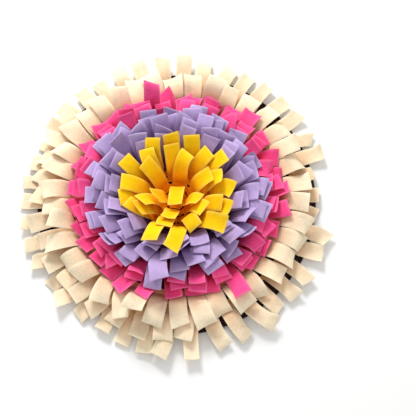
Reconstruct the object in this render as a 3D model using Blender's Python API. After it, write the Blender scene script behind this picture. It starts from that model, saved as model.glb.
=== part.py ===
"""Round snuffle mat: a dark cloth disc with rings of felt fringe sewn on it.

Metres, +Z up. The origin is on the surface that the mat lies on, under the middle of its box.
Each ring is one length of felt: a narrow tape lies flat on the disc, and the strips cut
from its outer edge stand up and bend outward over the ring outside it.
"""

import math
import random
from collections import namedtuple

import bmesh
import bpy
from mathutils import Matrix, Vector
from mathutils.bvhtree import BVHTree

BASE_RADIUS = 0.200
BASE_THICK = 0.0035
BASE_SIDES = 72
EDGE_ROUND = 0.001
SHARP = math.radians(60)  # edges that turn by more than this are the disc's rim

FELT = 0.0016  # felt thickness
SEAT = 0.0003  # gap that touching pieces keep
TAPE = 0.006  # width of the uncut tape along a fringe's root
FOLD = 0.005  # length over which a strip turns up from its tape
FLOOR_GAP = 0.001  # least height of a strip over the surface that the mat lies on

CURVE_STEPS = 40  # steps by which a strip's curve is worked out
STATIONS = (0.0, 0.07, 0.27, 0.50, 0.75, 1.0)  # shares of a strip's length that get a section
SMOOTH = tuple(step / 20 for step in range(2, 21))  # the same for its true curve
FACE_CLEARANCE = 0.0006  # free space kept over and under a strip where it is laid
EDGE_CLEARANCE = 0.0004  # free space kept beside it
TRIES = 30  # leans tried for a strip
RAISE = 2.0  # step in degrees by which a strip's tip is raised until it clears what is under it
RAISES = 36
LIFT_SHARE = 0.2  # how much of that raise its lower part takes
BEND = 1.15  # over 1, a strip curves more towards its tip than at its root
BEND_SPREAD = 0.25  # how far that may differ from strip to strip
ROOT_SHARE = 0.3  # how much of a ring's freedom to droop its strips have at their roots
LENGTH_SPREAD = 0.08  # how far lengths may differ, as a share
CUT_SPREAD = 0.002  # how far a tip may be cut askew
CUT_BACK = 0.5  # how much shorter a strip has been cut, as a share, by the last of its tries
SEED = 7

# One row for each ring of fringe, from the rim inward, which is the order of laying them.
# under: the ring that this one is sewn on top of and follows, strip for strip.
# root: radius of the tape's outer edge. level: tapes that lie under this one.
# count, first, span: how many strips, the angle of the first, and how much of the circle
# they take up, in degrees from +X.
# width, flare: a strip's width at its root, and how much wider it is cut at its tip, as a share.
# length, skew: its length, and how much longer it is on the +Y side and shorter on the -Y side.
# rise, fall: slope of a strip just above its fold, and at its tip where nothing holds it up.
# slump: how much lower than that a tip points on the -Y side, and higher on the +Y side.
# sway, droop, tilt: how far a strip may turn aside, bend and twist from that, in degrees.
Ring = namedtuple(
    "Ring",
    "name under root level count first span width flare length skew rise fall slump sway droop tilt",
)
RINGS = (
    Ring("cream_lower", "", 0.172, 0, 42, 2, 360, 0.0218, 0.04, 0.052, 0.0, 15, -18, 3, 14, 4, 6),
    Ring("cream_middle", "", 0.159, 0, 15, 144, 140, 0.023, 0.14, 0.054, 0.0, 34, -30, 0, 16, 10, 12),
    Ring("cream_upper", "", 0.142, 0, 38, 6, 360, 0.0226, 0.26, 0.060, -0.02, 60, -38, 10, 12, 8, 14),
    Ring("pink_outer", "", 0.117, 0, 31, 1, 360, 0.0226, 0.1, 0.047, 0.06, 60, -36, 4, 22, 12, 24),
    Ring("pink_middle", "", 0.103, 0, 27, 5, 360, 0.0224, 0.1, 0.055, 0.06, 62, -34, 4, 22, 12, 24),
    Ring("pink_inner", "pink_middle", 0.099, 1, 27, 5, 360, 0.022, 0.1, 0.054, 0.06, 66, -30, 4, 12, 8, 12),
    Ring("purple_outer", "", 0.084, 0, 20, 4, 360, 0.023, 0.14, 0.064, 0.0, 60, -36, 4, 22, 14, 24),
    Ring("purple_second", "purple_outer", 0.080, 1, 20, 4, 360, 0.023, 0.14, 0.063, 0, 64, -34, 4, 12, 7, 12),
    Ring("purple_third", "", 0.076, 2, 20, 13, 360, 0.0225, 0.14, 0.062, 0.0, 70, -30, 4, 14, 10, 18),
    Ring("purple_fourth", "", 0.060, 0, 15, 9, 360, 0.0228, 0.14, 0.070, 0.0, 64, -32, 6, 22, 14, 24),
    Ring("purple_inner", "purple_fourth", 0.0565, 1, 15, 9, 360, 0.022, 0.14, 0.067, 0, 70, -28, 6, 9, 8, 9),
    Ring("yellow_outer", "", 0.044, 0, 12, 6, 360, 0.022, 0.08, 0.071, 0.0, 71, -32, 8, 10, 12, 20),
    Ring("yellow_middle", "", 0.0335, 0, 9, 14, 360, 0.022, 0.08, 0.067, 0.0, 72, -32, 8, 24, 14, 26),
    Ring("yellow_inner", "", 0.0225, 0, 6, 20, 360, 0.0214, 0.08, 0.062, 0.0, 74, -30, 10, 20, 12, 24),
    Ring("yellow_core", "", 0.0115, 0, 3, 80, 360, 0.0205, 0.06, 0.056, 0.0, 80, -30, 6, 24, 12, 20),
)

# Strips that lie apart from their neighbours. angle picks the nearest strip of the ring, in
# degrees from +X. lift and droop are added to its rise and fall, in degrees, sway is how far it
# has turned aside at its tip and tilt how far it has twisted there; stretch scales its length.
# A droop over 90 lays the strip inward, over the middle of the mat.
Stray = namedtuple("Stray", "ring angle sway lift droop tilt stretch")
STRAYS = (
    Stray("cream_lower", -57, 24, 4, -4, 0, 1.16),
    Stray("cream_lower", -66, 18, 4, -4, 0, 1.18),
    Stray("cream_lower", -75, 6, 4, -4, 0, 1.18),
    Stray("cream_lower", -84, -8, 4, -4, 0, 1.20),
    Stray("cream_lower", -92, -14, 4, -4, 0, 1.16),
    Stray("cream_lower", -101, -8, 4, -4, 0, 1.10),
    Stray("cream_upper", -60, 6, -4, 4, 8, 1.04),
    Stray("cream_upper", -70, 8, 0, 8, -10, 1.04),
    Stray("cream_upper", -79, 14, -6, 2, 12, 1.04),
    Stray("cream_upper", -98, -16, 0, 12, -14, 1.06),
    Stray("cream_upper", -117, 18, -6, 6, 16, 1.02),
    Stray("cream_upper", -136, -18, 0, 14, -14, 1.04),
    Stray("cream_lower", 5, 0, 0, 0, 0, 0.62),
    Stray("cream_lower", 14, 0, 0, 0, 0, 0.60),
    Stray("cream_lower", -4, 0, 0, 0, 0, 0.60),
    Stray("cream_lower", 78, 0, 8, 8, 0, 1.06),
    Stray("cream_lower", 88, 4, 8, 10, 0, 1.06),
    Stray("cream_lower", 97, 0, 10, 12, 0, 1.10),
    Stray("cream_lower", 106, 10, 10, 12, 0, 1.16),
    Stray("cream_lower", 114, -8, 8, 6, 0, 1.06),
    Stray("pink_outer", -57, 6, -20, 18, 0, 1.60),
    Stray("pink_outer", -104, 0, -6, 4, 6, 1.25),
    Stray("pink_outer", -115, 0, -6, 4, 6, 1.20),
    Stray("pink_outer", -11, 20, -10, 0, 10, 1.20),
    Stray("pink_outer", 1, -14, -10, 0, -10, 1.15),
    Stray("pink_outer", 106, 4, 6, 74, 8, 1.56),
    Stray("pink_outer", 46, 0, 0, 30, 0, 1.20),
    Stray("purple_outer", -99, 0, 0, 0, 12, 1.22),
    Stray("yellow_outer", 6, -10, 0, 4, 8, 1.00),
    Stray("yellow_outer", 36, -16, 0, 12, 0, 1.00),
    Stray("yellow_outer", 66, 30, 0, 34, 0, 1.02),
    Stray("yellow_outer", 96, -14, 0, 34, 0, 1.00),
    Stray("yellow_outer", 126, -34, 0, 20, -10, 0.96),
    Stray("yellow_outer", 156, -26, 0, 8, 10, 0.92),
    Stray("yellow_outer", 186, 12, 0, -8, 0, 0.90),
    Stray("yellow_outer", 216, -38, 0, -6, 10, 1.06),
    Stray("yellow_outer", 246, 4, 0, -6, 14, 1.26),
    Stray("yellow_outer", 276, -14, 0, -6, -6, 1.32),
    Stray("yellow_outer", 306, 64, 0, 0, 10, 1.34),
    Stray("yellow_outer", 336, 12, 0, 4, 10, 1.00),
    Stray("yellow_inner", 80, 10, 4, 20, 0, 0.95),
    Stray("yellow_core", 80, 12, 12, 215, 8, 1.12),
)

# sRGB colours of the cloths, read off the daylight side of each ring.
COLOURS = {
    "cream": (0.98, 0.93, 0.80),
    "pink": (0.95, 0.22, 0.45),
    "purple": (0.66, 0.56, 0.80),
    "yellow": (0.98, 0.78, 0.10),
    "base": (0.16, 0.07, 0.07),
}
CLOTH_ROUGHNESS = 0.95

# How one strip differs from its ring's plain pose: as in the table of strays, then its bend, and
# how far one corner of its tip is cut ahead of the middle, and the other behind it.
Lean = namedtuple("Lean", "sway lift droop tilt stretch bend cut")


def linear(channel):
    """An sRGB channel as the linear value that a shader takes."""
    if channel <= 0.04045:
        return channel / 12.92
    return ((channel + 0.055) / 1.055) ** 2.4


def cloth(name):
    """The matt material of one cloth, made once."""
    known = bpy.data.materials.get(name)
    if known:
        return known
    material = bpy.data.materials.new(name)
    material.use_nodes = True
    shader = material.node_tree.nodes["Principled BSDF"]
    colour = [linear(channel) for channel in COLOURS[name]] + [1.0]
    shader.inputs["Base Color"].default_value = colour
    shader.inputs["Roughness"].default_value = CLOTH_ROUGHNESS
    shader.inputs["Metallic"].default_value = 0.0
    return material


def add_object(name, mesh_data, material):
    """Puts a finished bmesh into the scene as one named object."""
    bmesh.ops.recalc_face_normals(mesh_data, faces=mesh_data.faces)
    mesh = bpy.data.meshes.new(name)
    mesh_data.to_mesh(mesh)
    mesh_data.free()
    mesh.materials.append(material)
    obj = bpy.data.objects.new(name, mesh)
    bpy.context.collection.objects.link(obj)
    return obj


def build_base():
    """The cloth disc that the rings are sewn to, with its rim turned in and so slightly round."""
    disc = bmesh.new()
    bmesh.ops.create_cone(
        disc,
        cap_ends=True,
        segments=BASE_SIDES,
        radius1=BASE_RADIUS,
        radius2=BASE_RADIUS,
        depth=BASE_THICK,
        matrix=Matrix.Translation((0, 0, BASE_THICK / 2)),
    )
    rim = [edge for edge in disc.edges if edge.calc_face_angle(0) > SHARP]
    bmesh.ops.bevel(disc, geom=rim, offset=EDGE_ROUND, segments=1, affect="EDGES")
    return add_object("base_disc", disc, cloth("base"))


def tape_height(ring):
    """Height of the middle of a ring's tape."""
    return BASE_THICK + SEAT + ring.level * (FELT + SEAT) + FELT / 2


def slope(ring, lean, along):
    """A strip's slope at a share of its length: up out of the tape, then over to the tip."""
    fold = FOLD / (ring.length * lean.stretch)
    rise = ring.rise + lean.lift
    fall = ring.fall + lean.droop
    if along < fold:
        return math.radians(rise) * along / fold
    over = ((along - fold) / (1 - fold)) ** lean.bend
    return math.radians(rise + (fall - rise) * over)


def pointing(rise, heading):
    """The unit vector with this slope and this heading, both in radians."""
    return Vector((
        math.cos(rise) * math.cos(heading),
        math.cos(rise) * math.sin(heading),
        math.sin(rise),
    ))


def centreline(ring, lean):
    """Points along a strip's middle, at even steps from its root to its tip."""
    place = Vector((ring.root, 0.0, tape_height(ring)))
    step = 1.0 / CURVE_STEPS
    path = [place.copy()]
    for index in range(CURVE_STEPS):
        middle = (index + 0.5) * step
        forward = pointing(slope(ring, lean, middle), math.radians(lean.sway) * middle)
        place += forward * ring.length * lean.stretch * step
        path.append(place.copy())
    return path


def sections(ring, angle, lean, stations, beside=0.0, over=0.0):
    """Sections of one strip from its root to its tip: four corners each, in order round it."""
    path = centreline(ring, lean)
    turn = Matrix.Rotation(angle, 3, "Z")
    half_felt = FELT / 2 + over
    found = []
    for along in stations:
        at = along * CURVE_STEPS
        low = min(int(at), CURVE_STEPS - 1)
        centre = path[low].lerp(path[low + 1], at - low)
        heading = math.radians(lean.sway) * along
        tilt = math.radians(lean.tilt) * along
        level = Vector((-math.sin(heading), math.cos(heading), 0.0))
        forward = pointing(slope(ring, lean, along), heading)
        face = forward.cross(level)
        across = level * math.cos(tilt) + face * math.sin(tilt)
        out = face * math.cos(tilt) - level * math.sin(tilt)
        half_width = ring.width / 2 * (1 + ring.flare * along) + beside
        corners = [
            centre + (across * half_width + forward * lean.cut * along**3) * side
            + out * half_felt * lift
            for side, lift in ((-1, -1), (1, -1), (1, 1), (-1, 1))
        ]
        found.append([turn @ corner for corner in corners])
    return found


def skin(strip_sections):
    """A tree of the surface through a strip's sections, for finding what it touches."""
    corners = [corner for section in strip_sections for corner in section]
    faces = [(0, 1, 2, 3)]
    for first in range(0, len(corners) - 4, 4):
        for side in range(4):
            after = (side + 1) % 4
            faces.append((first + side, first + after, first + 4 + after, first + 4 + side))
    last = len(corners) - 4
    faces.append((last, last + 1, last + 2, last + 3))
    return BVHTree.FromPolygons(corners, faces)


def limits(strip_sections):
    """Lowest and highest corner of the box round a strip."""
    corners = [corner for section in strip_sections for corner in section]
    return Vector(map(min, zip(*corners))), Vector(map(max, zip(*corners)))


def apart(one, other):
    """Whether two boxes are clear of each other."""
    return any(
        one[0][axis] > other[1][axis] or other[0][axis] > one[1][axis] for axis in range(3)
    )


def tape_corners(ring, angles):
    """The corners of a ring's tape: four for each side of each of its strips, in order."""
    low = tape_height(ring) - FELT / 2
    narrowed = (ring.root - TAPE) / ring.root
    corners = []
    for angle in angles:
        turn = Matrix.Rotation(angle, 3, "Z")
        for side in (-1, 1):
            outer = turn @ Vector((ring.root, side * ring.width / 2, low))
            inner = Vector((outer.x * narrowed, outer.y * narrowed, low))
            up = Vector((0, 0, FELT))
            corners += [inner, outer, outer + up, inner + up]
    return corners


def tape_faces(ring):
    """The faces between those corners: the tape's four sides, and its ends if it has any."""
    corner_count = 8 * ring.count
    stretches = 2 * ring.count
    faces = []
    if ring.span < 360:
        stretches -= 1
        faces = [(0, 1, 2, 3), tuple(range(corner_count - 4, corner_count))]
    for first in range(0, 4 * stretches, 4):
        for side in range(4):
            after = (side + 1) % 4
            quad = (first + side, first + after, first + 4 + after, first + 4 + side)
            faces.append(tuple(corner % corner_count for corner in quad))
    return faces


def seat_body(corners, faces):
    """What strips lie on as a box and a skin, lowered so that a strip may lie SEAT above it."""
    lowered = [corner + Vector((0, 0, SEAT / 2 - FACE_CLEARANCE)) for corner in corners]
    surface = BVHTree.FromPolygons(lowered, faces)
    return limits([lowered]), surface, surface


def body(ring, angle, lean, beside=0.0, over=0.0):
    """A strip as a box round it, the skin of its built form and the skin of its true curve."""
    built = sections(ring, angle, lean, STATIONS[1:], beside, over)
    curved = sections(ring, angle, lean, SMOOTH, beside, over)
    return limits(built + curved), skin(built), skin(curved)


def is_clear(ring, angle, lean, laid):
    """Whether a strip that leans so keeps its clearance from every strip laid so far."""
    box, built, curved = body(ring, angle, lean, EDGE_CLEARANCE, FACE_CLEARANCE)
    if box[0].z < FLOOR_GAP:
        return False
    return not any(
        built.overlap(other_built) or curved.overlap(other_curved)
        for other_box, other_built, other_curved in laid
        if not apart(box, other_box)
    )


def upright(ring, angle):
    """A ring's plain lean at this angle: shorter and bent further over on the -Y side."""
    side = math.sin(angle)
    return Lean(0.0, 0.0, ring.slump * side, 0.0, 1 + ring.skew * side, 1.0, 0.0)


def drawn_lean(ring, lead, chance, share):
    """A lean drawn round a leading one: the less the share, the less freedom and the shorter."""
    return Lean(
        lead.sway + chance.uniform(-ring.sway, ring.sway) * share,
        lead.lift + chance.uniform(-1, 1) * ROOT_SHARE * ring.droop * share,
        lead.droop + chance.uniform(-1, 1) * ring.droop * share,
        lead.tilt + chance.uniform(-ring.tilt, ring.tilt) * share,
        lead.stretch * (1 + chance.uniform(-1, 1) * LENGTH_SPREAD * share - CUT_BACK * (1 - share)),
        BEND + chance.uniform(-1, 1) * BEND_SPREAD * share,
        chance.uniform(-CUT_SPREAD, CUT_SPREAD),
    )


def settled(ring, angle, lean, laid):
    """The lean with its tip raised just enough to rest on what lies under it, or None."""
    inward = ring.fall + lean.droop > 90
    for step in range(RAISES):
        raised = -RAISE * step if inward else RAISE * step
        higher = lean._replace(droop=lean.droop + raised, lift=lean.lift + raised * LIFT_SHARE)
        if is_clear(ring, angle, higher, laid):
            return higher
    return None


def stray_at(ring, angle):
    """The lean that the table of strays gives the strip at this angle, if any."""
    half_pitch = math.radians(ring.span / ring.count / 2)
    for stray in STRAYS:
        off = (angle - math.radians(stray.angle) + math.pi) % math.tau - math.pi
        if stray.ring == ring.name and -half_pitch <= off < half_pitch:
            return Lean(stray.sway, stray.lift, stray.droop, stray.tilt, stray.stretch, BEND, 0.0)
    return None


def strip_angles(ring):
    """The angle of each strip of a ring, in radians from +X."""
    pitch = ring.span / ring.count
    return [math.radians(ring.first + pitch * index) for index in range(ring.count)]


def lay_strips(disc):
    """Lays every strip of every ring, the rim's first, each with the first lean that is clear."""
    chance = random.Random(SEED)
    disc_corners = [vertex.co for vertex in disc.data.vertices]
    seats = {"": seat_body(disc_corners, [face.vertices for face in disc.data.polygons])}
    for ring in RINGS:
        seats[ring.name] = seat_body(tape_corners(ring, strip_angles(ring)), tape_faces(ring))
    strips = []
    leans = {}
    for ring in RINGS:
        leans[ring.name] = []
        laid = [seat for name, seat in seats.items() if name != ring.name]
        for index, angle in enumerate(strip_angles(ring)):
            lead = leans[ring.under][index] if ring.under else upright(ring, angle)
            lead = stray_at(ring, angle) or lead
            for attempt in range(TRIES):
                drawn = drawn_lean(ring, lead, chance, 1 - attempt / TRIES)
                chosen = settled(ring, angle, drawn, laid + strips)
                if chosen:
                    break
            leans[ring.name].append(chosen)
            strips.append(body(ring, angle, chosen))
    return leans


def build_ring(ring, leans):
    """One fringe: the flat tape with a short cut between the strips, each drawn out of its edge."""
    fringe = bmesh.new()
    angles = strip_angles(ring)
    corners = [fringe.verts.new(corner) for corner in tape_corners(ring, angles)]
    for face in tape_faces(ring):
        fringe.faces.new([corners[corner] for corner in face])
    bmesh.ops.recalc_face_normals(fringe, faces=fringe.faces)
    for index, (angle, lean) in enumerate(zip(angles, leans)):
        first = 8 * index
        edge = {corners[first + corner] for corner in (1, 2, 5, 6)}
        root = next(face for face in corners[first + 1].link_faces if set(face.verts) == edge)
        draw_strip(fringe, root, sections(ring, angle, lean, STATIONS))
    return add_object("fringe_" + ring.name, fringe, cloth(ring.name.split("_")[0]))


def draw_strip(fringe, root, strip_sections):
    """Extrudes a strip from its root face, one section after another."""
    tip = root
    for before, section in zip(strip_sections, strip_sections[1:]):
        tip = bmesh.ops.extrude_discrete_faces(fringe, faces=[tip])["faces"][0]
        for vertex in tip.verts:
            nearest = min(range(4), key=lambda corner: (before[corner] - vertex.co).length)
            vertex.co = section[nearest]


def centre(pieces):
    """Moves the pieces together until the box round their uneven tips has its middle over 0, 0."""
    low, high = limits([[vertex.co for piece in pieces for vertex in piece.data.vertices]])
    for piece in pieces:
        piece.data.transform(Matrix.Translation((-(low.x + high.x) / 2, -(low.y + high.y) / 2, 0)))


def clear_scene():
    """Removes every object that the scene starts with."""
    for obj in list(bpy.data.objects):
        bpy.data.objects.remove(obj)


def main():
    clear_scene()
    disc = build_base()
    leans = lay_strips(disc)
    centre([disc] + [build_ring(ring, leans[ring.name]) for ring in RINGS])


main()
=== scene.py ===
import functools
import math
import random
from collections import namedtuple

import bmesh
import bpy
from bpy.props import FloatProperty, FloatVectorProperty, PointerProperty
from mathutils import Matrix, Vector
from mathutils.bvhtree import BVHTree


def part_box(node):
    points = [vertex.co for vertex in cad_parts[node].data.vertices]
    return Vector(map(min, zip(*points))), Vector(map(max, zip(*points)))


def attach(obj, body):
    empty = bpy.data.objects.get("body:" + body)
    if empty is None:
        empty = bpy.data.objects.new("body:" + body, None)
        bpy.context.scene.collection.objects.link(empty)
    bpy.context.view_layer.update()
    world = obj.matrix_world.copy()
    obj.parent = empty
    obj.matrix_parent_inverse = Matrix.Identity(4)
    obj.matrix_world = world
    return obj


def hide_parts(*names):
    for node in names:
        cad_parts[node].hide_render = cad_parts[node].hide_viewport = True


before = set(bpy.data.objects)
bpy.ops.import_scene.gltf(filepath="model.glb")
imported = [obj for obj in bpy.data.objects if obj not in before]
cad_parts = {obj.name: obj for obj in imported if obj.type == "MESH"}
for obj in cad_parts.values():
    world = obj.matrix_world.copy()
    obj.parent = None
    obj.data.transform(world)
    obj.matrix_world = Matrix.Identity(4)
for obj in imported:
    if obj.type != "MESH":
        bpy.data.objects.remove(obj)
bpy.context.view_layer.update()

bl_info = {
    "name": "Felt Snuffle Mat",
    "version": (1, 0, 0),
    "blender": (4, 5, 0),
    "location": "View3D > Sidebar > Snuffle Mat",
    "description": "A round snuffle mat: a cloth disc with fifteen rings of felt fringe",
    "category": "Add Mesh",
}

# Lengths are in metres, +Z is up. The disc's middle and height come from the frame.
DISC_LOW, DISC_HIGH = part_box("base_disc")
DISC_MIDDLE = Vector(((DISC_LOW.x + DISC_HIGH.x) / 2, (DISC_LOW.y + DISC_HIGH.y) / 2, 0))

BASE_RADIUS = 0.200
BASE_THICK = 0.0035
BASE_SIDES = 72
EDGE_ROUND = 0.001
SHARP = math.radians(60)  # edges that turn by more than this are the disc's rim

FELT = 0.0016  # felt thickness
SEAT = 0.0003  # gap that touching pieces keep
TAPE = 0.006  # width of the uncut tape along a fringe's root
FOLD = 0.005  # length over which a strip turns up from its tape
FLOOR_GAP = 0.001  # least height of a strip over the surface that the mat lies on

CURVE_STEPS = 40  # steps by which a strip's curve is worked out
STATIONS = (0.0, 0.07, 0.27, 0.50, 0.75, 1.0)  # shares of a strip's length that get a section
SMOOTH = tuple(step / 20 for step in range(2, 21))  # the same for its true curve
FACE_CLEARANCE = 0.0006  # free space kept over and under a strip where it is laid
EDGE_CLEARANCE = 0.0004  # free space kept beside it
TRIES = 30  # leans tried for a strip
RAISE = 2.0  # step in degrees by which a strip's tip is raised until it clears what is under it
RAISES = 36
LIFT_SHARE = 0.2  # how much of that raise its lower part takes
BEND = 1.15  # over 1, a strip curves more towards its tip than at its root
BEND_SPREAD = 0.25  # how far that may differ from strip to strip
ROOT_SHARE = 0.3  # how much of a ring's freedom to droop its strips have at their roots
LENGTH_SPREAD = 0.08  # how far lengths may differ, as a share
CUT_SPREAD = 0.002  # how far a tip may be cut askew
CUT_BACK = 0.5  # how much shorter a strip has been cut, as a share, by the last of its tries
SEED = 7

AIM = Vector((0.0450, -0.0122, 0.0))  # from the disc's middle to what the camera looks at
KEY_PLACE = Vector((-0.35, 1.15, 1.00))  # the large lamp, which looks at the origin
KEY_SIZE = 0.5  # width of that lamp

# One row for each ring of fringe, from the rim inward, which is the order of laying them.
# under: the ring that this one is sewn on top of and follows, strip for strip.
# root: radius of the tape's outer edge. level: tapes that lie under this one.
# count, first, span: how many strips, the angle of the first, and how much of the circle
# they take up, in degrees from +X.
# width, flare: a strip's width at its root, and how much wider it is cut at its tip, as a share.
# length, skew: its length, and how much longer it is on the +Y side and shorter on the -Y side.
# rise, fall: slope of a strip just above its fold, and at its tip where nothing holds it up.
# slump: how much lower than that a tip points on the -Y side, and higher on the +Y side.
# sway, droop, tilt: how far a strip may turn aside, bend and twist from that, in degrees.
Ring = namedtuple(
    "Ring",
    "name under root level count first span width flare length skew rise fall slump sway droop tilt",
)
RINGS = (
    Ring("cream_lower", "", 0.172, 0, 42, 2, 360, 0.0218, 0.04, 0.052, 0.0, 15, -18, 3, 14, 4, 6),
    Ring("cream_middle", "", 0.159, 0, 15, 144, 140, 0.023, 0.14, 0.054, 0.0, 34, -30, 0, 16, 10, 12),
    Ring("cream_upper", "", 0.142, 0, 38, 6, 360, 0.0226, 0.26, 0.060, -0.02, 60, -38, 10, 12, 8, 14),
    Ring("pink_outer", "", 0.117, 0, 31, 1, 360, 0.0226, 0.1, 0.047, 0.06, 60, -36, 4, 22, 12, 24),
    Ring("pink_middle", "", 0.103, 0, 27, 5, 360, 0.0224, 0.1, 0.055, 0.06, 62, -34, 4, 22, 12, 24),
    Ring("pink_inner", "pink_middle", 0.099, 1, 27, 5, 360, 0.022, 0.1, 0.054, 0.06, 66, -30, 4, 12, 8, 12),
    Ring("purple_outer", "", 0.084, 0, 20, 4, 360, 0.023, 0.14, 0.064, 0.0, 60, -36, 4, 22, 14, 24),
    Ring("purple_second", "purple_outer", 0.080, 1, 20, 4, 360, 0.023, 0.14, 0.063, 0, 64, -34, 4, 12, 7, 12),
    Ring("purple_third", "", 0.076, 2, 20, 13, 360, 0.0225, 0.14, 0.062, 0.0, 70, -30, 4, 14, 10, 18),
    Ring("purple_fourth", "", 0.060, 0, 15, 9, 360, 0.0228, 0.14, 0.070, 0.0, 64, -32, 6, 22, 14, 24),
    Ring("purple_inner", "purple_fourth", 0.0565, 1, 15, 9, 360, 0.022, 0.14, 0.067, 0, 70, -28, 6, 9, 8, 9),
    Ring("yellow_outer", "", 0.044, 0, 12, 6, 360, 0.022, 0.08, 0.071, 0.0, 71, -32, 8, 10, 12, 20),
    Ring("yellow_middle", "", 0.0335, 0, 9, 14, 360, 0.022, 0.08, 0.067, 0.0, 72, -32, 8, 24, 14, 26),
    Ring("yellow_inner", "", 0.0225, 0, 6, 20, 360, 0.0214, 0.08, 0.062, 0.0, 74, -30, 10, 20, 12, 24),
    Ring("yellow_core", "", 0.0115, 0, 3, 80, 360, 0.0205, 0.06, 0.056, 0.0, 80, -30, 6, 24, 12, 20),
)

# Strips that lie apart from their neighbours, by ring: the angle that picks the nearest strip, in
# degrees from +X, then sway, lift, droop, tilt and stretch. lift and droop are added to its rise
# and fall, in degrees, sway is how far it has turned aside at its tip and tilt how far it has
# twisted there; stretch scales its length. A droop over 90 lays it inward, over the mat's middle.
STRAYS = {
    "cream_lower": (
        (-57, 24, 4, -4, 0, 1.16),
        (-66, 18, 4, -4, 0, 1.18),
        (-75, 6, 4, -4, 0, 1.18),
        (-84, -8, 4, -4, 0, 1.20),
        (-92, -14, 4, -4, 0, 1.16),
        (-101, -8, 4, -4, 0, 1.10),
        (5, 0, 0, 0, 0, 0.62),
        (14, 0, 0, 0, 0, 0.60),
        (-4, 0, 0, 0, 0, 0.60),
        (78, 0, 8, 8, 0, 1.06),
        (88, 4, 8, 10, 0, 1.06),
        (97, 0, 10, 12, 0, 1.10),
        (106, 10, 10, 12, 0, 1.16),
        (114, -8, 8, 6, 0, 1.06),
    ),
    "cream_upper": (
        (-60, 6, -4, 4, 8, 1.04),
        (-70, 8, 0, 8, -10, 1.04),
        (-79, 14, -6, 2, 12, 1.04),
        (-98, -16, 0, 12, -14, 1.06),
        (-117, 18, -6, 6, 16, 1.02),
        (-136, -18, 0, 14, -14, 1.04),
    ),
    "pink_outer": (
        (-57, 6, -20, 18, 0, 1.60),
        (-104, 0, -6, 4, 6, 1.25),
        (-115, 0, -6, 4, 6, 1.20),
        (-11, 20, -10, 0, 10, 1.20),
        (1, -14, -10, 0, -10, 1.15),
        (106, 4, 6, 74, 8, 1.56),
        (46, 0, 0, 30, 0, 1.20),
    ),
    "purple_outer": ((-99, 0, 0, 0, 12, 1.22),),
    "yellow_outer": (
        (6, -10, 0, 4, 8, 1.00),
        (36, -16, 0, 12, 0, 1.00),
        (66, 30, 0, 34, 0, 1.02),
        (96, -14, 0, 34, 0, 1.00),
        (126, -34, 0, 20, -10, 0.96),
        (156, -26, 0, 8, 10, 0.92),
        (186, 12, 0, -8, 0, 0.90),
        (216, -38, 0, -6, 10, 1.06),
        (246, 4, 0, -6, 14, 1.26),
        (276, -14, 0, -6, -6, 1.32),
        (306, 64, 0, 0, 10, 1.34),
        (336, 12, 0, 4, 10, 1.00),
    ),
    "yellow_inner": ((80, 10, 4, 20, 0, 0.95),),
    "yellow_core": ((80, 12, 12, 215, 8, 1.12),),
}

# How one strip differs from its ring's plain pose: as in the table of strays, then its bend, and
# how far one corner of its tip is cut ahead of the middle, and the other behind it.
Lean = namedtuple("Lean", "sway lift droop tilt stretch bend cut")

# How one strip that shows ripples: curl turns its tip up, bow turns it aside, cup bends its long
# edges up, wave and turns make it undulate along its length, flutter does so to one edge against
# the other, and taper widens its tip as a share of its width. The solids' strips are plain.
Ripple = namedtuple("Ripple", "curl bow cup wave turns phase flutter taper")
PLAIN = Ripple(0.0, 0.0, 0.0, 0.0, 0.0, 0.0, 0.0, 0.0)


def tape_height(ring):
    """Height of the middle of a ring's tape."""
    return BASE_THICK + SEAT + ring.level * (FELT + SEAT) + FELT / 2


def slope(ring, lean, ripple, along):
    """A strip's slope at a share of its length: up out of the tape, then over to the curled tip."""
    fold = FOLD / (ring.length * lean.stretch)
    rise = ring.rise + lean.lift
    fall = ring.fall + lean.droop
    if along < fold:
        return math.radians(rise) * along / fold
    over = ((along - fold) / (1 - fold)) ** lean.bend
    start = TOP_CURL_FROM if ring.name in TOP_RINGS else CURL_FROM
    curled = ripple.curl * max(0.0, (along - start) / (1 - start)) ** 2
    return math.radians(rise + (fall - rise) * over) + curled


def heading(lean, ripple, along):
    """A strip's heading at a share of its length."""
    return math.radians(lean.sway) * along + ripple.bow * along**2


def pointing(rise, aside):
    """The unit vector with this slope and this heading, both in radians."""
    level = math.cos(rise)
    return Vector((level * math.cos(aside), level * math.sin(aside), math.sin(rise)))


def centreline(ring, lean, ripple):
    """Points along a strip's middle, at even steps from its root to its tip."""
    place = Vector((ring.root, 0.0, tape_height(ring)))
    step = 1.0 / CURVE_STEPS
    path = [place.copy()]
    for index in range(CURVE_STEPS):
        middle = (index + 0.5) * step
        forward = pointing(slope(ring, lean, ripple, middle), heading(lean, ripple, middle))
        place += forward * ring.length * lean.stretch * step
        path.append(place.copy())
    return path


def pose(ring, lean, ripple, path, along):
    """A strip's middle, and which way is forward, across and out of its face, at a share of it."""
    at = along * CURVE_STEPS
    low = min(int(at), CURVE_STEPS - 1)
    aside = heading(lean, ripple, along)
    tilt = math.radians(lean.tilt) * along
    level = Vector((-math.sin(aside), math.cos(aside), 0.0))
    forward = pointing(slope(ring, lean, ripple, along), aside)
    face = forward.cross(level)
    across = level * math.cos(tilt) + face * math.sin(tilt)
    out = face * math.cos(tilt) - level * math.sin(tilt)
    return path[low].lerp(path[low + 1], at - low), forward, across, out


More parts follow.
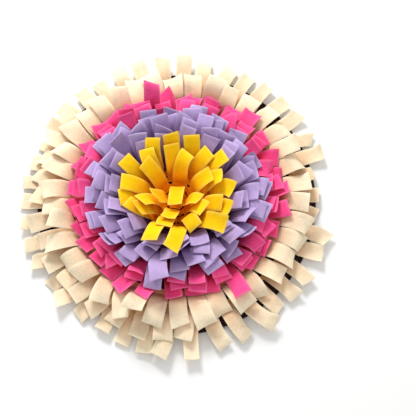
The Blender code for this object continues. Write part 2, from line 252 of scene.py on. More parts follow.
def sections(ring, angle, lean, stations, beside=0.0, over=0.0):
    """Sections of one plain strip from its root to its tip: four corners each, round it."""
    path = centreline(ring, lean, PLAIN)
    turn = Matrix.Rotation(angle, 3, "Z")
    half_felt = FELT / 2 + over
    found = []
    for along in stations:
        middle, forward, across, out = pose(ring, lean, PLAIN, path, along)
        half_width = ring.width / 2 * (1 + ring.flare * along) + beside
        corners = [
            middle + (across * half_width + forward * lean.cut * along**3) * side
            + out * half_felt * lift
            for side, lift in ((-1, -1), (1, -1), (1, 1), (-1, 1))
        ]
        found.append([turn @ corner for corner in corners])
    return found


def skin(strip_sections):
    """A tree of the surface through a strip's sections, for finding what it touches."""
    corners = [corner for section in strip_sections for corner in section]
    faces = [(0, 1, 2, 3)]
    for first in range(0, len(corners) - 4, 4):
        for side in range(4):
            after = (side + 1) % 4
            faces.append((first + side, first + after, first + 4 + after, first + 4 + side))
    last = len(corners) - 4
    faces.append((last, last + 1, last + 2, last + 3))
    return BVHTree.FromPolygons(corners, faces)


def limits(strip_sections):
    """Lowest and highest corner of the box round a strip."""
    corners = [corner for section in strip_sections for corner in section]
    return Vector(map(min, zip(*corners))), Vector(map(max, zip(*corners)))


def apart(one, other):
    """Whether two boxes are clear of each other."""
    return any(
        one[0][axis] > other[1][axis] or other[0][axis] > one[1][axis] for axis in range(3)
    )


def tape_corners(ring, angles):
    """The corners of a ring's tape: four for each side of each of its strips, in order."""
    low = tape_height(ring) - FELT / 2
    narrowed = (ring.root - TAPE) / ring.root
    corners = []
    for angle in angles:
        turn = Matrix.Rotation(angle, 3, "Z")
        for side in (-1, 1):
            outer = turn @ Vector((ring.root, side * ring.width / 2, low))
            inner = Vector((outer.x * narrowed, outer.y * narrowed, low))
            up = Vector((0, 0, FELT))
            corners += [inner, outer, outer + up, inner + up]
    return corners


def tape_faces(ring):
    """The faces between those corners: the tape's four sides, and its ends if it has any."""
    corner_count = 8 * ring.count
    stretches = 2 * ring.count
    faces = []
    if ring.span < 360:
        stretches -= 1
        faces = [(0, 1, 2, 3), tuple(range(corner_count - 4, corner_count))]
    for first in range(0, 4 * stretches, 4):
        for side in range(4):
            after = (side + 1) % 4
            quad = (first + side, first + after, first + 4 + after, first + 4 + side)
            faces.append(tuple(corner % corner_count for corner in quad))
    return faces


def seat_body(corners, faces):
    """What strips lie on as a box and a skin, lowered so that a strip may lie SEAT above it."""
    lowered = [corner + Vector((0, 0, SEAT / 2 - FACE_CLEARANCE)) for corner in corners]
    surface = BVHTree.FromPolygons(lowered, faces)
    return limits([lowered]), surface, surface


def body(ring, angle, lean, beside=0.0, over=0.0):
    """A strip as a box round it, the skin of its built form and the skin of its true curve."""
    built = sections(ring, angle, lean, STATIONS[1:], beside, over)
    curved = sections(ring, angle, lean, SMOOTH, beside, over)
    return limits(built + curved), skin(built), skin(curved)


def is_clear(ring, angle, lean, laid):
    """Whether a strip that leans so keeps its clearance from every strip laid so far."""
    box, built, curved = body(ring, angle, lean, EDGE_CLEARANCE, FACE_CLEARANCE)
    if box[0].z < FLOOR_GAP:
        return False
    return not any(
        built.overlap(other_built) or curved.overlap(other_curved)
        for other_box, other_built, other_curved in laid
        if not apart(box, other_box)
    )


def upright(ring, angle):
    """A ring's plain lean at this angle: shorter and bent further over on the -Y side."""
    side = math.sin(angle)
    return Lean(0.0, 0.0, ring.slump * side, 0.0, 1 + ring.skew * side, 1.0, 0.0)


def drawn_lean(ring, lead, chance, share):
    """A lean drawn round a leading one: the less the share, the less freedom and the shorter."""
    return Lean(
        lead.sway + chance.uniform(-ring.sway, ring.sway) * share,
        lead.lift + chance.uniform(-1, 1) * ROOT_SHARE * ring.droop * share,
        lead.droop + chance.uniform(-1, 1) * ring.droop * share,
        lead.tilt + chance.uniform(-ring.tilt, ring.tilt) * share,
        lead.stretch * (1 + chance.uniform(-1, 1) * LENGTH_SPREAD * share - CUT_BACK * (1 - share)),
        BEND + chance.uniform(-1, 1) * BEND_SPREAD * share,
        chance.uniform(-CUT_SPREAD, CUT_SPREAD),
    )


def settled(ring, angle, lean, laid):
    """The lean with its tip raised just enough to rest on what lies under it, or None."""
    inward = ring.fall + lean.droop > 90
    for step in range(RAISES):
        raised = -RAISE * step if inward else RAISE * step
        higher = lean._replace(droop=lean.droop + raised, lift=lean.lift + raised * LIFT_SHARE)
        if is_clear(ring, angle, higher, laid):
            return higher
    return None


def stray_at(ring, angle):
    """The lean that the table of strays gives the strip at this angle, if any."""
    half_pitch = math.radians(ring.span / ring.count / 2)
    for place, *lean in STRAYS.get(ring.name, ()):
        off = (angle - math.radians(place) + math.pi) % math.tau - math.pi
        if -half_pitch <= off < half_pitch:
            return Lean(*lean, BEND, 0.0)
    return None


def strip_angles(ring):
    """The angle of each strip of a ring, in radians from +X."""
    pitch = ring.span / ring.count
    return [math.radians(ring.first + pitch * index) for index in range(ring.count)]


def lay_strips(disc_corners, disc_faces):
    """Lays every strip of every ring, the rim's first, each with the first lean that is clear."""
    chance = random.Random(SEED)
    seats = {"": seat_body(disc_corners, disc_faces)}
    for ring in RINGS:
        seats[ring.name] = seat_body(tape_corners(ring, strip_angles(ring)), tape_faces(ring))
    strips = []
    leans = {}
    for ring in RINGS:
        leans[ring.name] = []
        laid = [seat for name, seat in seats.items() if name != ring.name]
        for index, angle in enumerate(strip_angles(ring)):
            lead = leans[ring.under][index] if ring.under else upright(ring, angle)
            lead = stray_at(ring, angle) or lead
            for attempt in range(TRIES):
                drawn = drawn_lean(ring, lead, chance, 1 - attempt / TRIES)
                chosen = settled(ring, angle, drawn, laid + strips)
                if chosen:
                    break
            leans[ring.name].append(chosen)
            strips.append(body(ring, angle, chosen))
    return leans


# The lines of points along a strip that shows. across: a line's place, as a share of half the
# strip's width. thick: the share of the felt's thickness there. edge: how much fuzz and painted highlight
# shows there.
Line = namedtuple("Line", "across thick edge")
LINES = (
    Line(-1.00, 0.40, 1.0),
    Line(-0.93, 0.92, 0.5),
    Line(-0.60, 1.00, 0.0),
    Line(0.00, 1.00, 0.0),
    Line(0.60, 1.00, 0.0),
    Line(0.93, 0.92, 0.5),
    Line(1.00, 0.40, 1.0),
)
COLUMNS = len(LINES)
FOLD_ROWS = 3  # rows of points round the fold at a strip's root
LONG_ROWS = 20  # and from there to its tip
ROWS = 1 + FOLD_ROWS + LONG_ROWS + 2  # all of them, with one at the tape's inner edge
TIP_BAND = 0.0009  # the last row but one is this far from the cut tip

# Least and most of each part of a ripple: a share of the form's own size, but for turns, which
# is in half waves, and phase, in radians. The strips of the top rings have nothing over them.
RIPPLES = Ripple(
    curl=(-1.0, 0.8), bow=(-1.3, 1.3), cup=(-0.7, 1.0), wave=(0.4, 1.0), turns=(1.2, 2.8),
    phase=(0.0, math.tau), flutter=(-1.0, 1.0), taper=(-1.0, 1.0),
)
TOP_RIPPLES = RIPPLES._replace(curl=(-2.2, 0.1), bow=(-2.6, 2.6))
TOP_RINGS = ("yellow_outer", "yellow_middle", "yellow_inner")
SIZED = ("curl", "bow", "cup", "wave", "flutter", "taper")  # parts that are shares of the form's
# Shares of those parts with which a strip is tried, one after another, until it is clear.
SOFTENINGS = (1.0, 1.0, 1.0, 1.0, 1.0, 1.0, 0.8, 0.8, 0.8, 0.6, 0.6, 0.4, 0.25, 0.12)
SOFT_SEED = 77
CURL_FROM = 0.55  # share of a strip's length where its tip begins to curl
TOP_CURL_FROM = 0.3  # the same for the top rings
CUP_SINK = 0.4  # share of the cup by which a strip's middle sinks
FLUTTER_TURN = 7.0  # radians of flutter from a strip's root to its tip

DISC_STEPS = 160  # sides of the disc that shows
DISC_ROUNDS = 3  # steps of its rounded rim
LEVEL_NORMAL = 0.9  # least height of the normal of a face that is level
SHADE_ANGLE = math.radians(50)  # edges that turn by more than this look sharp
PLACE_LIMIT = 0.012  # how far a fringe's box may be from its solid's
FLOOR_DROP = 0.0002  # the floor's depth below the disc, which rests on it


def linear(hex_colour):
    """An sRGB hex colour as the three linear values that a shader takes."""
    channels = [int(hex_colour[first:first + 2], 16) / 255 for first in (1, 3, 5)]
    return [c / 12.92 if c <= 0.04045 else ((c + 0.055) / 1.055) ** 2.4 for c in channels]


def setting(name, description, value, **kind):
    """A number that the panel shows."""
    return FloatProperty(name=name, description=description, default=value, **kind)


def length_setting(name, description, metres):
    """A length that the panel shows."""
    return setting(name, description, metres, unit="LENGTH")


def angle_setting(name, description, degrees):
    """An angle that the panel shows."""
    return setting(name, description, math.radians(degrees), subtype="ANGLE")


def colour_setting(name, description, hex_colour):
    """A colour that the panel shows."""
    return FloatVectorProperty(
        name=name, description=description, default=linear(hex_colour), subtype="COLOR"
    )


class FringeForm(bpy.types.PropertyGroup):
    """How the felt strips ripple, how far the painted shade at their roots reaches, and where they are sewn.
    """

    curl: angle_setting("Curl", "How far the tips turn up or down", 58)
    bow: angle_setting("Bow", "How far the tips turn aside", 16)
    cup: length_setting("Cup", "Rise of a strip's long edges over its middle", 0.0034)
    wave: length_setting("Wave", "Height of the waves along a strip", 0.0032)
    flutter: length_setting("Flutter", "Height of one edge's waves against the other's", 0.0034)
    taper: setting("Taper", "How much wider or narrower a tip may be", 0.10, subtype="FACTOR")
    # How far from the root the painted shade reaches before the felt shows its own colour.
    brushed: length_setting("Brushed", "From the root to where the painted root shade has faded", 0.055)
    stitch: length_setting("Stitch", "Length of one stitch and the gap after it", 0.0042)
    thread: length_setting("Thread", "Width of the thread", 0.0007)


class DiscForm(bpy.types.PropertyGroup):
    """The cloth disc's rim and stitches."""

    rim: length_setting("Rim", "Radius of the turned rim", 0.0014)
    hem: length_setting("Hem", "Width of the stitched hem", 0.007)
    groove: length_setting("Groove", "Depth of the hem's stitched groove", 0.0004)
    stitch: length_setting("Stitch", "Length of one stitch and the gap after it", 0.0042)
    thread: length_setting("Thread", "Width of the thread", 0.0007)


class ClothColours(bpy.types.PropertyGroup):
    """Colours of the cloths in daylight: each felt's own colour, and its root colour, which is painted shade
    where the strips crowd together.
    """

    cream: colour_setting("Cream", "Felt of the outer rings", "#f8e6c6")
    # The cream's root colour is painted shade and painted reflection of the pink felt.
    cream_root: colour_setting("Cream at the roots", "The same felt, not brushed", "#efb581")
    pink: colour_setting("Pink", "Felt of the pink rings", "#ff5496")
    pink_root: colour_setting("Pink at the roots", "The same felt, not brushed", "#e40c2e")
    purple: colour_setting("Purple", "Felt of the purple rings", "#b8a0d0")
    purple_root: colour_setting("Purple at the roots", "The same felt, not brushed", "#7e4698")
    yellow: colour_setting("Yellow", "Felt of the middle rings", "#ffcb0c")
    yellow_root: colour_setting("Yellow at the roots", "The same felt, not brushed", "#fc9400")
    disc: colour_setting("Disc", "Cloth that the rings are sewn to", "#2c1614")
    floor: colour_setting("Floor", "Plain surface under the mat", "#f8f8f7")


class StudioForm(bpy.types.PropertyGroup):
    """Where the camera and the lights are."""

    distance: length_setting("Distance", "Camera to the point it looks at", 1.6)
    height: angle_setting("Height", "Angle of the camera over the floor", 69)
    lens: setting("Lens", "Focal length in millimetres", 96.4, unit="CAMERA")
    key: setting("Key", "Power of the large soft lamp in watts", 21.0, unit="POWER")
    fill: setting("Fill", "Strength of the white light from all round", 0.74)
    floor: length_setting("Floor", "Width of the floor", 6.0)


def row_shares(ring, lean):
    """The shares of a strip's length that get a row of points."""
    length = ring.length * lean.stretch
    fold = FOLD / length
    last = 1 - TIP_BAND / length
    shares = [fold * row / FOLD_ROWS for row in range(FOLD_ROWS)]
    shares += [fold + (last - fold) * row / LONG_ROWS for row in range(LONG_ROWS + 1)]
    return shares + [1.0]


def strip_points(ring, angle, lean, ripple):
    """The points under and over a strip: a row for each share of its length, across it."""
    path = centreline(ring, lean, ripple)
    turn = Matrix.Rotation(angle, 3, "Z")
    under, over = [], []
    for along in row_shares(ring, lean):
        middle, forward, across, out = pose(ring, lean, ripple, path, along)
        middle, across, out = turn @ middle, turn @ across, turn @ out
        ahead = turn @ forward * lean.cut * along**3
        half_width = ring.width / 2 * (1 + (ring.flare + ripple.taper) * along)
        swell = math.sin(math.pi * ripple.turns * along + ripple.phase) - math.sin(ripple.phase)
        twist = math.sin(FLUTTER_TURN * along + ripple.phase)
        tip_thick = LINES[0].thick if along == 1.0 else 1.0
        under.append([])
        over.append([])
        for line in LINES:
            lift = ripple.cup * along * (line.across**2 - CUP_SINK)
            lift += ripple.wave * along * swell
            lift += ripple.flutter * along * line.across * twist
            place = middle + across * half_width * line.across + ahead * line.across + out * lift
            thick = out * FELT / 2 * min(line.thick, tip_thick)
            under[-1].append(place - thick)
            over[-1].append(place + thick)
    return under, over


def slab_faces(first, rows, count, edge_from, ends):
    """Faces of a strip's rows of points, count being how many lie before those over it: its two
    sides, its long edges from one row on, and the ends that are closed."""
    faces = []
    for row in range(rows - 1):
        for column in range(COLUMNS - 1):
            a = first + row * COLUMNS + column
            faces.append((a, a + 1, a + 1 + COLUMNS, a + COLUMNS))
            b = a + count
            faces.append((b, b + COLUMNS, b + COLUMNS + 1, b + 1))
    for row in range(edge_from, rows - 1):
        for column in (0, COLUMNS - 1):
            a = first + row * COLUMNS + column
            faces.append((a, a + COLUMNS, a + COLUMNS + count, a + count))
    for row in ends:
        for column in range(COLUMNS - 1):
            a = first + row * COLUMNS + column
            faces.append((a, a + 1, a + 1 + count, a + count))
    return faces


def bridge_faces(left, right, count):
    """Faces of the tape between one strip's last column and the next one's first."""
    return [
        (left, right, right + COLUMNS, left + COLUMNS),
        (left + count, left + COLUMNS + count, right + COLUMNS + count, right + count),
        (left, left + count, right + count, right),
        (left + COLUMNS, right + COLUMNS, right + COLUMNS + count, left + COLUMNS + count),
    ]


def strip_tree(under, over):
    """A box and a tree of a strip's skin beyond its fold, for finding what it touches."""
    rows = len(under) - FOLD_ROWS
    points = [point for side in (under, over) for row in side[FOLD_ROWS:] for point in row]
    faces = slab_faces(0, rows, len(points) // 2, 0, (rows - 1,))
    return limits([points]), BVHTree.FromPolygons(points, faces)


def drawn_ripple(form, ring, chance):
    """A ripple drawn within the form's sizes."""
    ranges = TOP_RIPPLES if ring.name in TOP_RINGS else RIPPLES
    drawn = Ripple(*(chance.uniform(least, most) for least, most in ranges))
    return drawn._replace(**{part: getattr(form, part) * getattr(drawn, part) for part in SIZED})


def softened(ripple, share):
    """The same ripple, with its sizes cut to a share."""
    return ripple._replace(**{part: getattr(ripple, part) * share for part in SIZED})


@functools.lru_cache(maxsize=1)
def laid_leans():
    """The lean of every strip, worked out once: the same as in the solids of the frame."""
    form = bmesh.new()
    bmesh.ops.create_cone(
        form, cap_ends=True, segments=BASE_SIDES, radius1=BASE_RADIUS, radius2=BASE_RADIUS,
        depth=BASE_THICK, matrix=Matrix.Translation((0, 0, BASE_THICK / 2)),
    )
    rim = [edge for edge in form.edges if edge.calc_face_angle(0) > SHARP]
    bmesh.ops.bevel(form, geom=rim, offset=EDGE_ROUND, segments=1, affect="EDGES")
    corners = [vertex.co.copy() for vertex in form.verts]
    form.verts.index_update()
    faces = [[vertex.index for vertex in face.verts] for face in form.faces]
    form.free()
    return lay_strips(corners, faces)


@functools.lru_cache(maxsize=1)
def rippled_strips():
    """Every strip's points, each rippled as far as it stays clear of all the others."""
    form = bpy.context.scene.fringe_form
    chance = random.Random(SOFT_SEED)
    leans = laid_leans()
    places = [
        (ring, index, angle, leans[ring.name][index])
        for ring in RINGS
        for index, angle in enumerate(strip_angles(ring))
    ]
    points = {}
    trees = {}
    for ring, index, angle, lean in places:
        points[ring.name, index] = strip_points(ring, angle, lean, PLAIN)
        trees[ring.name, index] = strip_tree(*points[ring.name, index])
    for ring, index, angle, lean in places:
        others = [tree for key, tree in trees.items() if key != (ring.name, index)]
        for share in SOFTENINGS:
            ripple = softened(drawn_ripple(form, ring, chance), share)
            rippled = strip_points(ring, angle, lean, ripple)
            box, tree = strip_tree(*rippled)
            near = [other for other_box, other in others if not apart(box, other_box)]
            if box[0].z > FLOOR_GAP and not any(tree.overlap(other) for other in near):
                points[ring.name, index] = rippled
                trees[ring.name, index] = (box, tree)
                break
    return points


def tape_edge(ring, root_row):
    """The points at the tape's inner edge, in line with those at a strip's root."""
    narrowed = (ring.root - TAPE) / ring.root
    height = tape_height(ring) - FELT / 2
    under = [Vector((root.x * narrowed, root.y * narrowed, height)) for root in root_row]
    return under, [point + Vector((0, 0, FELT)) for point in under]


def fringe_mesh(ring):
    """One fringe, its tape and its strips, as a closed mesh: its points and faces, and for each
    point its place on the flat felt, how much fuzz and painted edge highlight it shows, and its strip's tone."""
    chance = random.Random(ring.name)
    all_under, all_over, felt_map, edges, tones = [], [], [], [], []
    firsts = []
    for index, angle in enumerate(strip_angles(ring)):
        under, over = rippled_strips()[ring.name, index]
        lean = laid_leans()[ring.name][index]
        tone = chance.uniform(-1.0, 1.0)
        firsts.append(len(felt_map))
        tape_under, tape_over = tape_edge(ring, under[0])
        along = [-TAPE] + [share * ring.length * lean.stretch for share in row_shares(ring, lean)]
        for row, (low, high) in enumerate(zip([tape_under] + under, [tape_over] + over)):
            all_under += low
            all_over += high
            tip_edge = {ROWS - 1: 1.0, ROWS - 2: 0.5}.get(row, 0.0)
            for line in LINES:
                felt_map.append((angle * ring.root + line.across * ring.width / 2, along[row]))
                edges.append(max(line.edge if row > 1 else 0.0, tip_edge))
                tones.append(tone)
    count = len(all_under)
    faces = []
    for first in firsts:
        faces += slab_faces(first, ROWS, count, 1, (0, ROWS - 1))
    whole = ring.span == 360
    for index in range(ring.count if whole else ring.count - 1):
        right = firsts[(index + 1) % ring.count]
        faces += bridge_faces(firsts[index] + COLUMNS - 1, right, count)
    if not whole:
        for end in (firsts[0], firsts[-1] + COLUMNS - 1):
            faces.append((end, end + COLUMNS, end + COLUMNS + count, end + count))
    return all_under + all_over, faces, felt_map * 2, edges * 2, tones * 2


def node(tree, kind, inputs=(), **settings):
    """Adds a shader node with its settings; a value in inputs is set, and a socket is linked."""
    added = tree.nodes.new(kind)
    for name, value in settings.items():
        setattr(added, name, value)
    for name, value in dict(inputs).items():
        if isinstance(value, bpy.types.NodeSocket):
            tree.links.new(value, added.inputs[name])
        else:
            added.inputs[name].default_value = value
    return added


def maths(tree, operation, *values):
    """The result of a Math node on one, two or three values or sockets."""
    return node(tree, "ShaderNodeMath", enumerate(values), operation=operation).outputs[0]


def noise(tree, place, size, detail, roughness=0.5):
    """Noise whose clouds are about as large as size, in the units of the place."""
    inputs = {"Vector": place, "Scale": 1 / size, "Detail": detail, "Roughness": roughness}
    return node(tree, "ShaderNodeTexNoise", inputs).outputs["Fac"]


def mixed(tree, share, one, other):
    """One colour mixed with a share of another. Each is three values or a socket."""
    one, other = (
        colour if isinstance(colour, bpy.types.NodeSocket) else (*colour, 1.0)
        for colour in (one, other)
    )
    inputs = {0: share, 6: one, 7: other}
    return node(tree, "ShaderNodeMix", inputs, data_type="RGBA").outputs[2]


def vector_scaled(tree, vector, factor):
    """A vector or a colour times a factor."""
    inputs = {0: vector, "Scale": factor}
    return node(tree, "ShaderNodeVectorMath", inputs, operation="SCALE").outputs["Vector"]


def stitch_marks(tree, in_seam, along, form, sewn_share):
    """1 on the stitches of a seam and 0 elsewhere. along is the way along the seam."""
    dash = maths(tree, "FRACT", maths(tree, "DIVIDE", along, form.stitch))
    return maths(tree, "MULTIPLY", in_seam, maths(tree, "LESS_THAN", dash, sewn_share))


def new_material(name, sheen_tint, roughness, sheen):
    """A matt cloth material with a soft sheen, its node tree and its shader."""
    material = bpy.data.materials.new(name)
    material.use_nodes = True
    shader = material.node_tree.nodes["Principled BSDF"]
    shader.inputs["Roughness"].default_value = roughness
    shader.inputs["IOR"].default_value = 1.45
    shader.inputs["Specular IOR Level"].default_value = 0.2
    shader.inputs["Sheen Weight"].default_value = sheen
    shader.inputs["Sheen Roughness"].default_value = 0.5
    shader.inputs["Sheen Tint"].default_value = (*sheen_tint, 1.0)
    return material, material.node_tree, shader


def finish_shader(tree, shader, colour, height, strength, distance):
    """Gives a shader its colour, and the relief of its surface."""
    relief = {"Height": height, "Strength": strength, "Distance": distance}
    bump = node(tree, "ShaderNodeBump", relief)
    tree.links.new(colour, shader.inputs["Base Color"])
    tree.links.new(bump.outputs["Normal"], shader.inputs["Normal"])


def scaled(colour, factor, towards_white=0.0):
    """A colour made darker or lighter, and then mixed with white."""
    return [min(1.0, c * factor) * (1 - towards_white) + towards_white for c in colour]


# Sizes in millimetres of what mottles the felt: clouds, clumps of fibres, and the grain of its
# surface. Real fibres are too fine to show.
CLOUD, CLUMP, GRAIN = 14.0, 2.2, 0.7
SHADE_FADE_CURVE = 0.7  # under 1, the painted shade at the root gives way to the felt's own colour sooner
MOST_FUR_HIGHLIGHT = 0.55  # most of the pale line of fuzz and painted highlight that a cut edge shows, as a share
FELT_SEWN, DISC_SEWN = 0.72, 0.75  # share of a stitch that is thread and not gap
THREADS_APART = 0.0013  # twice the real spacing of woven threads, which would be too fine to show
DUST = 1 / 60  # size in metres of the dusty clouds on the disc


def felt_material(name, tip_colour, root_shade_colour, form):
    """Pressed felt: fibres with no weave, so it is matt and faintly mottled; its cut edges show fuzz and
    a painted highlight as a pale line, where they catch the light. Its root colour is painted shade,
    with painted pink reflection on the cream felt, fading into its own colour towards the tips.
    A row of stitches runs along the tape, in thread of a darker root colour."""
    material, tree, shader = new_material(name, tip_colour, roughness=0.95, sheen=0.05)
    felt_map = node(tree, "ShaderNodeUVMap", uv_map="felt").outputs["UV"]
    tone = node(tree, "ShaderNodeAttribute", attribute_name="tone").outputs["Fac"]
    edge = node(tree, "ShaderNodeAttribute", attribute_name="edge").outputs["Fac"]
    axes = node(tree, "ShaderNodeSeparateXYZ", {0: felt_map}).outputs
    across, along = axes["X"], axes["Y"]
    own_place = node(tree, "ShaderNodeCombineXYZ", {"X": across, "Y": along, "Z": tone})
    millimetres = vector_scaled(tree, own_place.outputs["Vector"], 1000.0)
    clouds = noise(tree, millimetres, CLOUD, 2.0)
    clumps = noise(tree, millimetres, CLUMP, 5.0, 0.75)
    grain = noise(tree, millimetres, GRAIN, 3.0, 0.8)
    # Clouds, clumps and the strip's own tone move the shade to both sides of a half.
    shade = maths(tree, "MULTIPLY_ADD", clouds, 0.9, -0.45)
    shade = maths(tree, "ADD", shade, maths(tree, "MULTIPLY_ADD", clumps, 1.1, -0.55))
    shade = maths(tree, "ADD", shade, maths(tree, "MULTIPLY_ADD", tone, 0.22, 0.5))
    mottle = maths(tree, "MULTIPLY_ADD", shade, 0.42, 0.76)
    # Painted shade at the roots, with painted pink reflection on the cream felt, fading into the felt's own
    # colour along the strip.
    brushed = maths(tree, "DIVIDE", along, form.brushed)
    brushed = maths(tree, "MINIMUM", maths(tree, "MAXIMUM", brushed, 0.0), 1.0)
    brushed = maths(tree, "POWER", brushed, SHADE_FADE_CURVE)
    body = vector_scaled(tree, mixed(tree, brushed, root_shade_colour, tip_colour), mottle)
    # The pale line on cut edges is fuzz and a painted highlight, where the edges catch the light.
    fur_highlight = maths(tree, "MULTIPLY", edge, maths(tree, "MULTIPLY", clumps, 1.2))
    fur_highlight = maths(tree, "MINIMUM", fur_highlight, MOST_FUR_HIGHLIGHT)
    fur_and_highlight = mixed(tree, fur_highlight, body, scaled(tip_colour, 1.15, 0.14))
    off_seam = maths(tree, "ABSOLUTE", maths(tree, "ADD", along, TAPE / 2))
    in_seam = maths(tree, "LESS_THAN", off_seam, form.thread / 2)
    stitches = stitch_marks(tree, in_seam, across, form, FELT_SEWN)
    sewn = mixed(tree, stitches, fur_and_highlight, scaled(root_shade_colour, 0.55))
    height = maths(tree, "MULTIPLY_ADD", grain, 0.5, maths(tree, "ADD", clumps, stitches))
    finish_shader(tree, shader, sewn, height, strength=0.7, distance=0.0009)
    return material


def seam_radii(form):
    """Radius of each row of stitches on the disc: one under each tape, and the hem's."""
    return [ring.root - TAPE / 2 for ring in RINGS] + [BASE_RADIUS - form.hem]


def disc_material(name, colour, form):
    """Plain-woven cotton cloth, dyed dark brown: two sets of threads that cross, a little dusty
    where it is rubbed, with rows of machine stitches."""
    sheen_tint = scaled(colour, 2.5, 0.15)
    material, tree, shader = new_material(name, sheen_tint, roughness=0.88, sheen=0.25)
    place = node(tree, "ShaderNodeTexCoord").outputs["Object"]
    centring = node(tree, "ShaderNodeMapping", {"Vector": place, "Location": -DISC_MIDDLE})
    centred = centring.outputs["Vector"]
    axes = node(tree, "ShaderNodeSeparateXYZ", {0: centred}).outputs
    x, y = axes["X"], axes["Y"]
    turns = math.tau / THREADS_APART
    warp = maths(tree, "SINE", maths(tree, "MULTIPLY", x, turns))
    weft = maths(tree, "SINE", maths(tree, "MULTIPLY", y, turns))
    weave = maths(tree, "MULTIPLY", warp, weft)
    shade = maths(tree, "MULTIPLY_ADD", weave, 0.25, noise(tree, centred, DUST, 4.0))
    body = mixed(tree, shade, scaled(colour, 0.6), scaled(colour, 1.6))
    flat = node(tree, "ShaderNodeCombineXYZ", {"X": x, "Y": y}).outputs["Vector"]
    radius = node(tree, "ShaderNodeVectorMath", {0: flat}, operation="LENGTH").outputs["Value"]
    in_seam = 0.0
    for seam in seam_radii(form):
        off = maths(tree, "ABSOLUTE", maths(tree, "SUBTRACT", radius, seam))
        in_seam = maths(tree, "MAXIMUM", in_seam, maths(tree, "LESS_THAN", off, form.thread / 2))
    arc = maths(tree, "MULTIPLY", maths(tree, "ARCTAN2", y, x), radius)
    stitches = stitch_marks(tree, in_seam, arc, form, DISC_SEWN)
    sewn = mixed(tree, stitches, body, scaled(colour, 3.0, 0.06))
    height = maths(tree, "MULTIPLY_ADD", weave, 0.3, stitches)
    finish_shader(tree, shader, sewn, height, strength=0.5, distance=0.0004)
    return material


def finish_piece(piece, material, node_name):
    """Puts a finished piece in place of its solid."""
    piece.data.materials.clear()
    piece.data.materials.append(material)
    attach(piece, "root")
    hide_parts(node_name)


def check_place(piece, node_name):
    """Stops the script if a fringe doesn't lie where its solid does."""
    low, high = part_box(node_name)
    found_low, found_high = limits([[vertex.co for vertex in piece.data.vertices]])
    off = max((found_low - low).length, (found_high - high).length)
    if off > PLACE_LIMIT:
        raise RuntimeError(f"{node_name} is {off * 1000:.1f} mm from its solid")


def add_fringe(ring, material):
    points, faces, felt_map, edges, tones = fringe_mesh(ring)
    mesh = bpy.data.meshes.new("felt_" + ring.name)
    mesh.from_pydata([point + DISC_MIDDLE for point in points], [], faces)
    layer = mesh.uv_layers.new(name="felt")
    for loop in mesh.loops:
        layer.data[loop.index].uv = felt_map[loop.vertex_index]
    mesh.attributes.new("edge", "FLOAT", "POINT").data.foreach_set("value", edges)
    mesh.attributes.new("tone", "FLOAT", "POINT").data.foreach_set("value", tones)
    form = bmesh.new()
    form.from_mesh(mesh)
    bmesh.ops.recalc_face_normals(form, faces=form.faces)
    form.to_mesh(mesh)
    form.free()
    mesh.shade_smooth()
    mesh.set_sharp_from_angle(angle=SHADE_ANGLE)
    piece = bpy.data.objects.new("felt_" + ring.name, mesh)
    bpy.context.scene.collection.objects.link(piece)
    finish_piece(piece, material, "fringe_" + ring.name)
    check_place(piece, "fringe_" + ring.name)
    lengths = [ring.length * lean.stretch for lean in laid_leans()[ring.name]]


def add_fringes(context, colour_name, cloth):
    """Makes all the rings of one colour of felt."""
    colours = context.scene.cloth_colours
    tip_colour = getattr(colours, colour_name)
    # The root colour is painted shade, and on the cream felt painted pink reflection as well.
    root_shade_colour = getattr(colours, colour_name + "_root")
    material = felt_material(cloth, tip_colour, root_shade_colour, context.scene.fringe_form)
    for ring in RINGS:
        if ring.name.startswith(colour_name):
            add_fringe(ring, material)


class MESH_OT_cloth_disc(bpy.types.Operator):
    """Make the round cloth disc that the fringes are sewn to"""

    bl_idname = "mesh.cloth_disc"
    bl_label = "Cloth Disc"

    def execute(self, context):
        form = context.scene.disc_form
        bpy.ops.object.select_all(action="DESELECT")
        height = DISC_HIGH.z - DISC_LOW.z
        bpy.ops.mesh.primitive_cylinder_add(
            vertices=DISC_STEPS, radius=(DISC_HIGH.x - DISC_LOW.x) / 2, depth=height,
            location=DISC_MIDDLE + Vector((0, 0, height / 2)),
        )
        piece = context.object
        piece.name = "cloth_disc"
        bpy.ops.object.transform_apply(location=True, rotation=True, scale=True)
        bpy.ops.object.mode_set(mode="EDIT")
        bpy.ops.mesh.select_mode(type="FACE")
        self.select_caps(piece)
        bpy.ops.mesh.inset(thickness=form.hem, depth=0.0)
        bpy.ops.mesh.inset(thickness=form.thread, depth=-form.groove)
        bpy.ops.mesh.inset(thickness=form.thread, depth=form.groove)
        bpy.ops.mesh.select_mode(type="EDGE")
        self.select_rim(piece)
        bpy.ops.mesh.bevel(offset=form.rim, segments=DISC_ROUNDS, affect="EDGES")
        bpy.ops.mesh.select_all(action="SELECT")
        bpy.ops.mesh.normals_make_consistent(inside=False)
        bpy.ops.object.mode_set(mode="OBJECT")
        bpy.ops.object.shade_smooth_by_angle(angle=SHADE_ANGLE)
        material = disc_material(
            "Plain-woven cotton, dark brown", context.scene.cloth_colours.disc, form
        )
        finish_piece(piece, material, "base_disc")
        return {"FINISHED"}

    def select_caps(self, piece):
        """Selects the disc's upper and lower face."""
        form = bmesh.from_edit_mesh(piece.data)
        for face in form.faces:
            face.select_set(abs(face.normal.z) > LEVEL_NORMAL)
        form.select_flush_mode()
        bmesh.update_edit_mesh(piece.data)

    def select_rim(self, piece):
        """Selects the two sharp circles round the disc's side."""
        form = bmesh.from_edit_mesh(piece.data)
        for edge in form.edges:
            outer = all((v.co - DISC_MIDDLE).xy.length > BASE_RADIUS - FELT for v in edge.verts)
            level = abs(edge.verts[0].co.z - edge.verts[1].co.z) < SEAT
            edge.select_set(outer and level)
        form.select_flush_mode()
        bmesh.update_edit_mesh(piece.data)


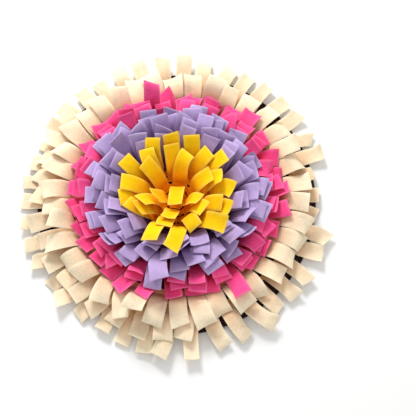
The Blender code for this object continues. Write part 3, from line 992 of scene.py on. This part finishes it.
class MESH_OT_cream_fringes(bpy.types.Operator):
    """Make the three cream fringes at the rim"""

    bl_idname = "mesh.cream_fringes"
    bl_label = "Cream Fringes"

    def execute(self, context):
        add_fringes(context, "cream", "Brushed felt, cream")
        return {"FINISHED"}


class MESH_OT_pink_fringes(bpy.types.Operator):
    """Make the three pink fringes"""

    bl_idname = "mesh.pink_fringes"
    bl_label = "Pink Fringes"

    def execute(self, context):
        add_fringes(context, "pink", "Brushed felt, bright pink")
        return {"FINISHED"}


class MESH_OT_purple_fringes(bpy.types.Operator):
    """Make the five purple fringes"""

    bl_idname = "mesh.purple_fringes"
    bl_label = "Purple Fringes"

    def execute(self, context):
        add_fringes(context, "purple", "Brushed felt, lavender purple")
        return {"FINISHED"}


class MESH_OT_yellow_fringes(bpy.types.Operator):
    """Make the four yellow fringes in the middle"""

    bl_idname = "mesh.yellow_fringes"
    bl_label = "Yellow Fringes"

    def execute(self, context):
        add_fringes(context, "yellow", "Brushed felt, warm yellow")
        return {"FINISHED"}


class SCENE_OT_mat_studio(bpy.types.Operator):
    """Set up the plain floor, the soft light and the camera"""

    bl_idname = "scene.mat_studio"
    bl_label = "Floor, Light and Camera"

    def execute(self, context):
        studio = context.scene.studio_form
        self.add_floor(context, studio)
        self.add_light(context, studio)
        self.add_camera(context, studio)
        context.scene.view_settings.view_transform = "Standard"
        return {"FINISHED"}

    def add_floor(self, context, studio):
        """A wide matt floor of painted board."""
        bpy.ops.object.select_all(action="DESELECT")
        bpy.ops.mesh.primitive_plane_add(size=studio.floor, location=(0, 0, -FLOOR_DROP))
        floor = context.object
        floor.name = "floor"
        material = bpy.data.materials.new("Matt painted board, off-white")
        material.use_nodes = True
        shader = material.node_tree.nodes["Principled BSDF"]
        shader.inputs["Base Color"].default_value = (*context.scene.cloth_colours.floor, 1.0)
        shader.inputs["Roughness"].default_value = 0.9
        floor.data.materials.append(material)

    def add_light(self, context, studio):
        """A large lamp behind and left of the mat, and even white light from all round."""
        lamp = bpy.data.lights.new("key", "AREA")
        lamp.energy = studio.key
        lamp.shape = "SQUARE"
        lamp.size = KEY_SIZE
        key = bpy.data.objects.new("key", lamp)
        key.location = KEY_PLACE
        key.rotation_euler = KEY_PLACE.to_track_quat("Z", "Y").to_euler()
        context.scene.collection.objects.link(key)
        world = bpy.data.worlds.new("studio")
        world.use_nodes = True
        background = world.node_tree.nodes["Background"]
        background.inputs["Color"].default_value = (1.0, 1.0, 1.0, 1.0)
        background.inputs["Strength"].default_value = studio.fill
        context.scene.world = world

    def add_camera(self, context, studio):
        """A camera at the photo's angle, over the mat's near side."""
        lens = bpy.data.cameras.new("camera")
        lens.lens = studio.lens
        lens.clip_start = 0.05
        camera = bpy.data.objects.new("camera", lens)
        back = Vector((0, -math.cos(studio.height), math.sin(studio.height)))
        camera.location = DISC_MIDDLE + AIM + back * studio.distance
        camera.rotation_euler = (math.pi / 2 - studio.height, 0, 0)
        context.scene.collection.objects.link(camera)
        context.scene.camera = camera


class VIEW3D_PT_snuffle_mat(bpy.types.Panel):
    """The mat's pieces, sizes and colours"""

    bl_label = "Snuffle Mat"
    bl_category = "Snuffle Mat"
    bl_space_type = "VIEW_3D"
    bl_region_type = "UI"

    def draw(self, context):
        for piece in PIECES:
            self.layout.operator(piece.bl_idname)
        for name, group in GROUPS.items():
            box = self.layout.box()
            for setting in group.__annotations__:
                box.prop(getattr(context.scene, name), setting)


GROUPS = {
    "fringe_form": FringeForm,
    "disc_form": DiscForm,
    "cloth_colours": ClothColours,
    "studio_form": StudioForm,
}
PIECES = (
    MESH_OT_cloth_disc,
    MESH_OT_cream_fringes,
    MESH_OT_pink_fringes,
    MESH_OT_purple_fringes,
    MESH_OT_yellow_fringes,
    SCENE_OT_mat_studio,
)


def register():
    for group in (*GROUPS.values(), *PIECES, VIEW3D_PT_snuffle_mat):
        bpy.utils.register_class(group)
    for name, group in GROUPS.items():
        setattr(bpy.types.Scene, name, PointerProperty(type=group))


def unregister():
    for name in GROUPS:
        delattr(bpy.types.Scene, name)
    for group in (VIEW3D_PT_snuffle_mat, *reversed(PIECES), *GROUPS.values()):
        bpy.utils.unregister_class(group)


def main():
    register()
    bpy.ops.mesh.cloth_disc()
    bpy.ops.mesh.cream_fringes()
    bpy.ops.mesh.pink_fringes()
    bpy.ops.mesh.purple_fringes()
    bpy.ops.mesh.yellow_fringes()
    bpy.ops.scene.mat_studio()


if __name__ == "__main__":
    main()
